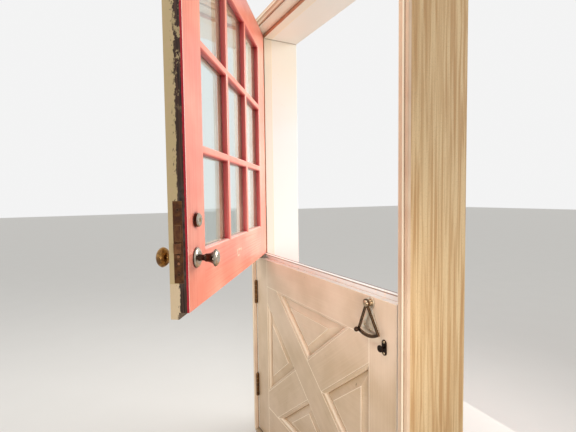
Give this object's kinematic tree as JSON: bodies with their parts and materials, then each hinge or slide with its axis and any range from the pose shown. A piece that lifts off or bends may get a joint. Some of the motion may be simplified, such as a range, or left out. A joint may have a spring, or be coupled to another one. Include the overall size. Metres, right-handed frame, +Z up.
{
  "type": "dutch stable door",
  "caption": "Stable door in its frame: a glazed upper leaf over a cross-braced lower leaf, rebated together, each swinging on butt hinges, with a mortise lock and a quadrant between them.",
  "frame": {"origin": "on the underside of the sill, midway between the jambs, in the plane of the shut leaves' room face", "axes": "+X from the hinge side to the latch side, +Y from the room to the outside, +Z up"},
  "size_m": [1.117, 0.8771, 2.1205],
  "materials": {
    "frame_paint": "painted",
    "sill_wood": "painted",
    "casing_paint": "painted",
    "lower_leaf_paint": "painted",
    "upper_leaf_paint": "painted",
    "bead_paint": "painted",
    "glass": "clear",
    "hinge_metal": "aged",
    "lock_steel": "satin",
    "lock_bronze": "aged",
    "dark_bronze": "aged",
    "inner_brass": "worn",
    "quadrant_metal": "aged",
    "cylinder_metal": "worn"
  },
  "bodies": {
    "frame": {"hinge_jamb": "frame_paint", "latch_jamb": "frame_paint", "head_jamb": "frame_paint", "sill": "sill_wood", "hinge_casing": "casing_paint", "latch_casing": "casing_paint", "head_casing": "casing_paint", "lock_strike": "lock_bronze", "bolt_strike": "lock_bronze", "frame_hinge_leaves": "hinge_metal", "hinge_pins": "hinge_metal"},
    "lower_leaf": {"lower_hinge_stile": "lower_leaf_paint", "lower_latch_stile": "lower_leaf_paint", "lower_top_rail": "lower_leaf_paint", "lower_bottom_rail": "lower_leaf_paint", "falling_brace": "lower_leaf_paint", "rising_braces": "lower_leaf_paint", "head_panel": "lower_leaf_paint", "foot_panel": "lower_leaf_paint", "hinge_panel": "lower_leaf_paint", "latch_panel": "lower_leaf_paint", "lower_hinge_leaves": "hinge_metal", "quadrant_plate": "quadrant_metal", "quadrant_pivot": "quadrant_metal", "turn_plate": "dark_bronze"},
    "upper_leaf": {"upper_hinge_stile": "upper_leaf_paint", "upper_latch_stile": "upper_leaf_paint", "upper_top_rail": "upper_leaf_paint", "upper_bottom_rail": "upper_leaf_paint", "horizontal_muntins": "upper_leaf_paint", "vertical_muntins": "upper_leaf_paint", "glass_panes": "glass", "glazing_beads": "bead_paint", "upper_hinge_leaves": "hinge_metal", "lock_case": "lock_steel", "faceplate": "lock_bronze", "faceplate_screws": "lock_bronze", "outer_rose": "dark_bronze", "inner_rose": "inner_brass", "lock_cylinder": "dark_bronze", "thumb_rose": "inner_brass", "quadrant_keeper": "quadrant_metal"},
    "knobs": {"knob_spindle": "lock_steel", "outer_knob": "dark_bronze", "inner_knob": "inner_brass"},
    "latch": {"latch_bolt": "lock_bronze"},
    "dead_bolt": {"dead_bolt": "lock_bronze"},
    "plug": {"cylinder_plug": "cylinder_metal"},
    "thumb_turn": {"thumb_turn": "inner_brass"},
    "upper_button": {"upper_button": "lock_bronze"},
    "lower_button": {"lower_button": "lock_bronze"},
    "quadrant": {"quadrant_sector": "quadrant_metal", "quadrant_ball": "quadrant_metal"},
    "bolt_turn": {"bolt_turn": "dark_bronze"},
    "small_bolt": {"small_bolt": "lock_bronze"}
  },
  "joints": [
    {"name": "lower_leaf_swing", "type": "hinge", "parent": "frame", "child": "lower_leaf", "pos_m": [-0.5095, -0.008, 0.5], "axis": [0, 0, -1], "range_deg": [0, 75]},
    {"name": "upper_leaf_swing", "type": "hinge", "parent": "lower_leaf", "child": "upper_leaf", "pos_m": [-0.5095, -0.008, 1.5], "axis": [0, 0, -1], "range_deg": [-35.27, 54.73]},
    {"name": "knob_turn", "type": "hinge", "parent": "upper_leaf", "child": "knobs", "pos_m": [0.29293, -0.5351, 1.095], "axis": [0.5774, 0.8164, 0], "range_deg": [0, 60], "stiffness_Nm_per_rad": 0.4},
    {"name": "latch_slide", "type": "slide", "parent": "upper_leaf", "child": "latch", "axis": [-0.8164, 0.5774, 0], "range_m": [0, 0.011]},
    {"name": "dead_bolt_slide", "type": "slide", "parent": "upper_leaf", "child": "dead_bolt", "axis": [0.8164, -0.5774, 0], "range_m": [0, 0.022]},
    {"name": "cylinder_plug_turn", "type": "hinge", "parent": "upper_leaf", "child": "plug", "pos_m": [0.30736, -0.51469, 1.195], "axis": [0.5774, 0.8164, 0], "range_deg": [0, 90]},
    {"name": "thumb_turn", "type": "hinge", "parent": "upper_leaf", "child": "thumb_turn", "pos_m": [0.27849, -0.55551, 1.195], "axis": [0.5774, 0.8164, 0], "range_deg": [0, 90]},
    {"name": "upper_button_slide", "type": "slide", "parent": "upper_leaf", "child": "upper_button", "axis": [-0.8164, 0.5774, 0], "range_m": [0, 0.0015]},
    {"name": "lower_button_slide", "type": "slide", "parent": "upper_leaf", "child": "lower_button", "axis": [0.8164, -0.5774, 0], "range_m": [0, 0.0015]},
    {"name": "quadrant_turn", "type": "hinge", "parent": "lower_leaf", "child": "quadrant", "pos_m": [0.395, -0.0175, 0.922], "axis": [0, -1, 0], "range_deg": [-5, 175]},
    {"name": "small_bolt_slide", "type": "slide", "parent": "lower_leaf", "child": "small_bolt", "axis": [1, 0, 0], "range_m": [0, 0.012]},
    {"name": "bolt_turn", "type": "hinge", "parent": "lower_leaf", "child": "bolt_turn", "pos_m": [0.457, -0.01, 0.801], "axis": [0, -1, 0], "range_deg": [0, 90]}
  ],
  "couplings": [
    {"joint": "latch_slide", "follows": "knob_turn", "m_per_rad": 0.010504},
    {"joint": "cylinder_plug_turn", "follows": "dead_bolt_slide", "rad_per_m": 71.4},
    {"joint": "thumb_turn", "follows": "dead_bolt_slide", "rad_per_m": 71.4},
    {"joint": "lower_button_slide", "follows": "upper_button_slide", "ratio": 1},
    {"joint": "bolt_turn", "follows": "small_bolt_slide", "rad_per_m": 130.9}
  ]
}
